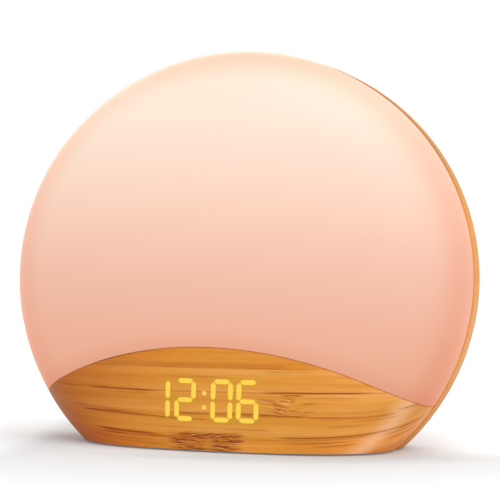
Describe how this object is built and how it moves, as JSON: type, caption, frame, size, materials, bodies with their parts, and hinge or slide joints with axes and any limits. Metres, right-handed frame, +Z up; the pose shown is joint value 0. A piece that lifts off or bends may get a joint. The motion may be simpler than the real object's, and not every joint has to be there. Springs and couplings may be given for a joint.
{
  "type": "sunrise alarm clock",
  "caption": "Free-standing sunrise alarm clock: frosted round light dome over a wood-look base with a lit digit display, keys, grille and power socket at the back.",
  "frame": {"origin": "on the surface the feet stand on, under the middle of the width and depth", "axes": "+X to the right seen from the front, -Y towards the user (the lit dome), +Z up"},
  "size_m": [0.1866, 0.0782, 0.1566],
  "materials": {
    "diffuser": "frosted translucent, lit from inside",
    "wood_shell": "satin bamboo-look finish on moulded shells",
    "base_cover": "fine matte",
    "foot_rubber": "matte",
    "reflector": "matte white",
    "white_board": "white solder mask",
    "light_chip": "phosphor",
    "display_case": "matte black",
    "digit_resin": "translucent, lit",
    "foam": "closed-cell foam",
    "circuit_board": "solder mask",
    "speaker_steel": "black zinc",
    "speaker_magnet": "ferrite",
    "speaker_paper": "pressed pulp",
    "speaker_rubber": "soft",
    "switch_case": "matte",
    "inlet_steel": "plated",
    "inlet_core": "matte",
    "holder_plastic": "matte",
    "contact_metal": "nickel-plated spring",
    "cell_steel": "satin",
    "rear_trim": "satin brown",
    "capacitor_can": "satin",
    "chip_case": "matte",
    "header_plastic": "natural nylon",
    "screw_steel": "zinc plated",
    "wire_red": "soft insulation",
    "wire_black": "soft insulation",
    "ribbon_grey": "flat cable",
    "key_plastic": "fine matte",
    "plunger_plastic": "matte"
  },
  "bodies": {
    "housing": {"base_plate": "base_cover", "base_screws": "screw_steel", "battery_contacts": "contact_metal", "battery_holder": "holder_plastic", "board_chips": "chip_case", "board_headers": "header_plastic", "board_screws": "screw_steel", "capacitors": "capacitor_can", "chassis_screws": "screw_steel", "coin_cell": "cell_steel", "digit_segments": "digit_resin", "display_board": "circuit_board", "display_gasket": "foam", "display_housing": "display_case", "display_ribbon": "ribbon_grey", "front_fascia": "wood_shell", "housing_screws": "screw_steel", "led_board": "white_board", "led_chips": "light_chip", "led_leads": "wire_red", "left_key_board": "circuit_board", "light_chassis": "reflector", "light_diffuser": "diffuser", "main_board": "circuit_board", "power_inlet_core": "inlet_core", "power_inlet_shell": "inlet_steel", "rear_shell": "wood_shell", "right_key_board": "circuit_board", "rubber_feet": "foot_rubber", "speaker_cone": "speaker_paper", "speaker_dust_cap": "speaker_paper", "speaker_frame": "speaker_steel", "speaker_gasket": "foam", "speaker_leads": "wire_black", "speaker_magnet": "speaker_magnet", "speaker_screws": "screw_steel", "speaker_surround": "speaker_rubber", "switch_bodies": "switch_case"},
    "battery_door": {"battery_door": "rear_trim"},
    "light_key": {"light_button": "key_plastic", "light_plunger": "plunger_plastic"},
    "snooze_key": {"snooze_button": "key_plastic", "snooze_plunger": "plunger_plastic"},
    "sound_key": {"sound_button": "key_plastic", "sound_plunger": "plunger_plastic"},
    "plus_key": {"plus_button": "key_plastic", "plus_plunger": "plunger_plastic"},
    "minus_key": {"minus_button": "key_plastic", "minus_plunger": "plunger_plastic"},
    "clock_key": {"clock_button": "key_plastic", "clock_plunger": "plunger_plastic"},
    "alarm_two_key": {"alarm_two_button": "key_plastic", "alarm_two_plunger": "plunger_plastic"},
    "alarm_one_key": {"alarm_one_button": "key_plastic", "alarm_one_plunger": "plunger_plastic"}
  },
  "joints": [
    {"name": "light_press", "type": "slide", "parent": "housing", "child": "light_key", "axis": [0, -1, 0], "range_m": [0, 0.0005], "stiffness_N_per_m": 600, "springref_m": -0.0005},
    {"name": "snooze_press", "type": "slide", "parent": "housing", "child": "snooze_key", "axis": [0, -1, 0], "range_m": [0, 0.0005], "stiffness_N_per_m": 600, "springref_m": -0.0005},
    {"name": "sound_press", "type": "slide", "parent": "housing", "child": "sound_key", "axis": [0, -1, 0], "range_m": [0, 0.0005], "stiffness_N_per_m": 600, "springref_m": -0.0005},
    {"name": "plus_press", "type": "slide", "parent": "housing", "child": "plus_key", "axis": [0, -1, 0], "range_m": [0, 0.0005], "stiffness_N_per_m": 600, "springref_m": -0.0005},
    {"name": "minus_press", "type": "slide", "parent": "housing", "child": "minus_key", "axis": [0, -1, 0], "range_m": [0, 0.0005], "stiffness_N_per_m": 600, "springref_m": -0.0005},
    {"name": "clock_press", "type": "slide", "parent": "housing", "child": "clock_key", "axis": [0, -1, 0], "range_m": [0, 0.0005], "stiffness_N_per_m": 600, "springref_m": -0.0005},
    {"name": "alarm_two_press", "type": "slide", "parent": "housing", "child": "alarm_two_key", "axis": [0, -1, 0], "range_m": [0, 0.0005], "stiffness_N_per_m": 600, "springref_m": -0.0005},
    {"name": "alarm_one_press", "type": "slide", "parent": "housing", "child": "alarm_one_key", "axis": [0, -1, 0], "range_m": [0, 0.0005], "stiffness_N_per_m": 600, "springref_m": -0.0005},
    {"name": "battery_door_hinge", "type": "hinge", "parent": "housing", "child": "battery_door", "pos_m": [0, 0.03726, 0.0163], "axis": [-1, 0, 0], "range_deg": [0, 100]}
  ]
}
